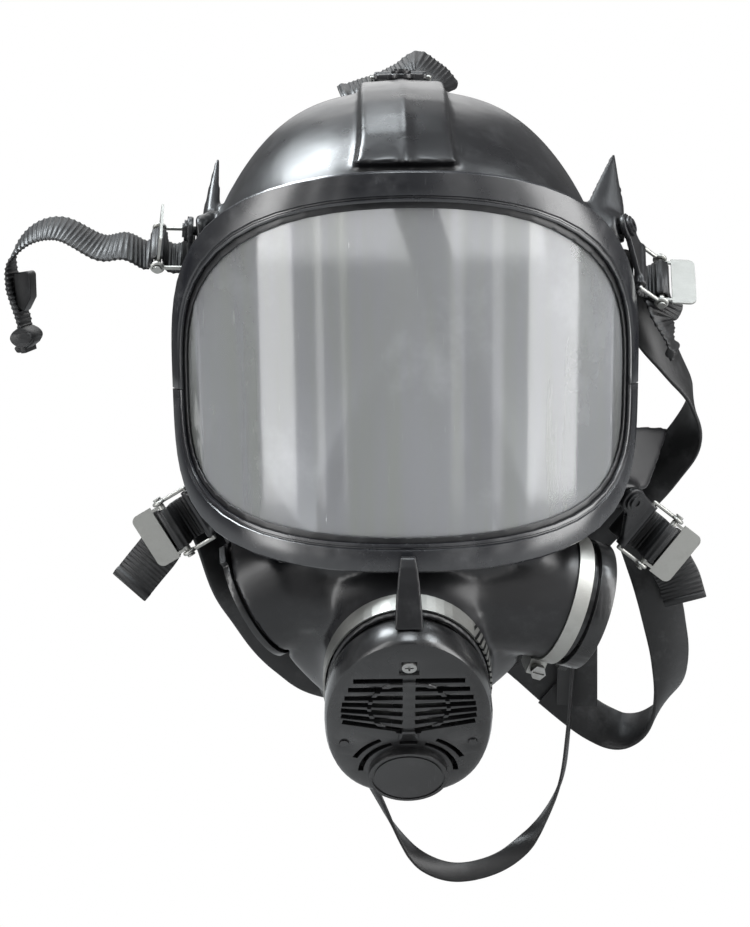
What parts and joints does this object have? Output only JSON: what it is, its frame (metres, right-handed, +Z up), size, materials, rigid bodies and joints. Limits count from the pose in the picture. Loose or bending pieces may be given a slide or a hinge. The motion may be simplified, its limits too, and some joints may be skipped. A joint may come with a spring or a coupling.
{
  "type": "air pack",
  "caption": "Full-face breathing mask of an air pack: clear curved visor in a clamp frame, rubber face body, chin valve unit, side port, strap harness with buckles.",
  "frame": {"origin": "centre of the face opening at eye level, on the axis of the visor's cylinder", "axes": "+X towards the wearer's left, +Y back through the face opening towards the wearer's head, +Z up; the visor faces -Y"},
  "size_m": [0.3073, 0.1776, 0.3909],
  "materials": {
    "rubber": "matt black moulded rubber",
    "frame_plastic": "satin black moulded plastic",
    "black_plastic": "matt black moulded plastic",
    "clear_plastic": "clear moulded plastic",
    "steel": "brushed stainless steel",
    "screw_steel": "zinc-plated steel",
    "grey_rubber": "grey silicone rubber",
    "strap_rubber": "black ribbed rubber strap"
  },
  "bodies": {
    "facepiece": {"face_body": "rubber", "visor": "clear_plastic", "frame_upper": "frame_plastic", "frame_lower": "frame_plastic", "frame_screws": "screw_steel", "frame_nuts": "screw_steel", "nose_cup": "rubber", "cup_valve_seats": "black_plastic", "cup_valve_flaps": "grey_rubber", "chin_housing": "black_plastic", "chin_band": "steel", "chin_band_screw": "screw_steel", "speech_diaphragm": "steel", "diaphragm_ring": "black_plastic", "diaphragm_seal": "grey_rubber", "exhale_seat": "black_plastic", "exhale_spring": "steel", "exhale_bridge": "black_plastic", "chin_cover": "black_plastic", "cover_screw": "screw_steel", "cover_disc": "black_plastic", "cover_tab": "rubber", "port_adapter": "black_plastic", "port_band": "steel", "port_band_screw": "screw_steel", "port_valve_seat": "black_plastic", "port_valve_flap": "grey_rubber", "blank_plug": "black_plastic", "link_studs": "black_plastic", "link_top": "rubber", "link_ur": "rubber", "link_lr": "rubber", "link_ul": "rubber", "link_ll": "rubber", "strap_top": "strap_rubber", "strap_ur": "strap_rubber", "strap_lr": "strap_rubber", "strap_ul": "strap_rubber", "strap_ll": "strap_rubber", "head_pad": "strap_rubber", "neck_strap": "strap_rubber"},
    "bail_ur_body": {"bail_ur": "steel", "strap_end_ur": "strap_rubber"},
    "plate_ur_body": {"plate_ur": "steel"},
    "bail_lr_body": {"bail_lr": "steel", "strap_end_lr": "strap_rubber"},
    "plate_lr_body": {"plate_lr": "steel"},
    "bail_ul_body": {"bail_ul": "steel", "strap_end_ul": "strap_rubber"},
    "plate_ul_body": {"plate_ul": "steel"},
    "bail_ll_body": {"bail_ll": "steel", "strap_end_ll": "strap_rubber"},
    "plate_ll_body": {"plate_ll": "steel"},
    "bail_top_body": {"bail_top": "steel", "strap_end_top": "strap_rubber"},
    "plate_top_body": {"plate_top": "steel"},
    "exhale_valve": {"exhale_disc": "grey_rubber"},
    "port_latch_body": {"port_latch": "black_plastic"}
  },
  "joints": [
    {"name": "bail_ur_hinge", "type": "hinge", "parent": "facepiece", "child": "bail_ur_body", "pos_m": [0.102, -0.04, 0.0485], "axis": [-0.1005, -0.7233, -0.6831], "range_deg": [-5, 15]},
    {"name": "plate_ur_hinge", "type": "hinge", "parent": "bail_ur_body", "child": "plate_ur_body", "pos_m": [0.11198, -0.03505, 0.04179], "axis": [-0.1005, -0.7233, -0.6831], "range_deg": [-21, 44]},
    {"name": "bail_lr_hinge", "type": "hinge", "parent": "facepiece", "child": "bail_lr_body", "pos_m": [0.1035, -0.0375, -0.0665], "axis": [-0.6174, 0, -0.7867], "range_deg": [0, 15]},
    {"name": "plate_lr_hinge", "type": "hinge", "parent": "bail_lr_body", "child": "plate_lr_body", "pos_m": [0.11373, -0.0375, -0.07453], "axis": [-0.6174, 0, -0.7867], "range_deg": [0, 85]},
    {"name": "bail_ul_hinge", "type": "hinge", "parent": "facepiece", "child": "bail_ul_body", "pos_m": [-0.0922, -0.04, 0.0585], "axis": [-0.0501, 0.7818, 0.6215], "range_deg": [-15, 15]},
    {"name": "plate_ul_hinge", "type": "hinge", "parent": "bail_ul_body", "child": "plate_ul_body", "pos_m": [-0.10514, -0.04117, 0.05892], "axis": [-0.0501, 0.7818, 0.6215], "range_deg": [-78, 0]},
    {"name": "bail_ll_hinge", "type": "hinge", "parent": "facepiece", "child": "bail_ll_body", "pos_m": [-0.0917, -0.042, -0.0575], "axis": [-0.4983, 0, 0.867], "range_deg": [0, 15]},
    {"name": "plate_ll_hinge", "type": "hinge", "parent": "bail_ll_body", "child": "plate_ll_body", "pos_m": [-0.10297, -0.042, -0.06398], "axis": [-0.4983, 0, 0.867], "range_deg": [0, 85]},
    {"name": "bail_top_hinge", "type": "hinge", "parent": "facepiece", "child": "bail_top_body", "pos_m": [0, -0.005, 0.1315], "axis": [-1, 0, 0], "range_deg": [-15, 15]},
    {"name": "plate_top_hinge", "type": "hinge", "parent": "bail_top_body", "child": "plate_top_body", "pos_m": [0, 0.00476, 0.12291], "axis": [-1, 0, 0], "range_deg": [0, 45]},
    {"name": "exhale_slide", "type": "slide", "parent": "facepiece", "child": "exhale_valve", "axis": [0, -0.848, -0.5299], "range_m": [0, 0.0025], "stiffness_N_per_m": 20, "springref_m": -0.002, "deforming": ["exhale_spring"]},
    {"name": "latch_slide", "type": "slide", "parent": "facepiece", "child": "port_latch_body", "axis": [0.3181, 0.0372, 0.9473], "range_m": [0, 0.002], "stiffness_N_per_m": 300, "springref_m": -0.003}
  ]
}
